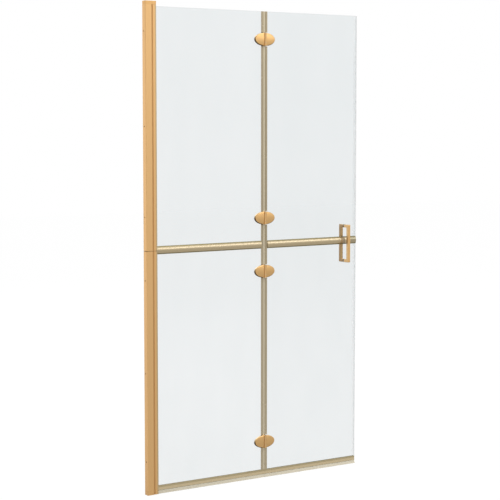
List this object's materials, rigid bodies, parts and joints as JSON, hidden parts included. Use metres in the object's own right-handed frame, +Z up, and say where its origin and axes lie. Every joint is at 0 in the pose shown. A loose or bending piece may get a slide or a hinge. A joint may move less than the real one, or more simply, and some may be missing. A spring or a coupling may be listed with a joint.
{
  "type": "folding walk-in shower screen",
  "caption": "Folding walk-in shower screen: clear glass leaves in split panes, gold wall profile, oval hinges, seals and a pull handle on both faces.",
  "frame": {"origin": "bottom of the wall face, in the middle plane of the glass", "axes": "+X along the screen away from the wall, -Y to the front, where the hinge ovals are, +Z up"},
  "size_m": [1, 0.064, 1.9],
  "materials": {
    "gold_profile": "satin gold anodised",
    "gold_cap": "satin gold",
    "gold_fitting": "satin gold plated",
    "steel_fixing": "plain",
    "nylon": "natural",
    "clear_pad": "clear",
    "tempered_glass": "clear polished",
    "clear_seal": "clear",
    "glazing_rubber": "soft cream",
    "champagne_seal": "champagne, slightly translucent"
  },
  "bodies": {
    "wall_channel": {"wall_channel_lower": "gold_profile", "wall_channel_upper": "gold_profile", "profile_top_cap": "gold_cap", "profile_clamp_screws": "steel_fixing", "profile_clamp_nuts": "steel_fixing"},
    "fixed_leaf": {"fixed_bottom_seal": "champagne_seal", "fixed_glass_lower": "tempered_glass", "fixed_glass_upper": "tempered_glass", "fixed_hinge_pads": "clear_pad", "fixed_hinge_screws": "steel_fixing", "fixed_hinge_sleeves": "nylon", "fixed_mid_strip": "champagne_seal", "fixed_seam_seal": "champagne_seal", "glass_profile_lower": "gold_profile", "glass_profile_upper": "gold_profile", "glazing_gasket_lower": "glazing_rubber", "glazing_gasket_upper": "glazing_rubber", "hinge_bottom_fixed_leaf": "gold_fitting", "hinge_bottom_fixed_plate": "gold_fitting", "hinge_lower_fixed_leaf": "gold_fitting", "hinge_lower_fixed_plate": "gold_fitting", "hinge_pins": "steel_fixing", "hinge_top_fixed_leaf": "gold_fitting", "hinge_top_fixed_plate": "gold_fitting", "hinge_upper_fixed_leaf": "gold_fitting", "hinge_upper_fixed_plate": "gold_fitting", "hinge_washers": "nylon"},
    "folding_leaf": {"folding_bottom_seal": "champagne_seal", "folding_glass_lower": "tempered_glass", "folding_glass_upper": "tempered_glass", "folding_hinge_pads": "clear_pad", "folding_hinge_screws": "steel_fixing", "folding_hinge_sleeves": "nylon", "folding_mid_strip": "champagne_seal", "folding_seam_seal": "champagne_seal", "free_edge_seal": "clear_seal", "handle_back": "gold_fitting", "handle_front": "gold_fitting", "handle_pads": "clear_pad", "handle_sleeves": "nylon", "handle_studs": "steel_fixing", "hinge_bottom_folding_leaf": "gold_fitting", "hinge_bottom_folding_plate": "gold_fitting", "hinge_lower_folding_leaf": "gold_fitting", "hinge_lower_folding_plate": "gold_fitting", "hinge_top_folding_leaf": "gold_fitting", "hinge_top_folding_plate": "gold_fitting", "hinge_upper_folding_leaf": "gold_fitting", "hinge_upper_folding_plate": "gold_fitting"}
  },
  "joints": [
    {"name": "wall_adjust", "type": "slide", "parent": "wall_channel", "child": "fixed_leaf", "axis": [1, 0, 0], "range_m": [-0.0045, 0.008]},
    {"name": "fold", "type": "hinge", "parent": "fixed_leaf", "child": "folding_leaf", "pos_m": [0.541, -0.014, 0], "axis": [0, 0, -1], "range_deg": [0, 175]}
  ]
}
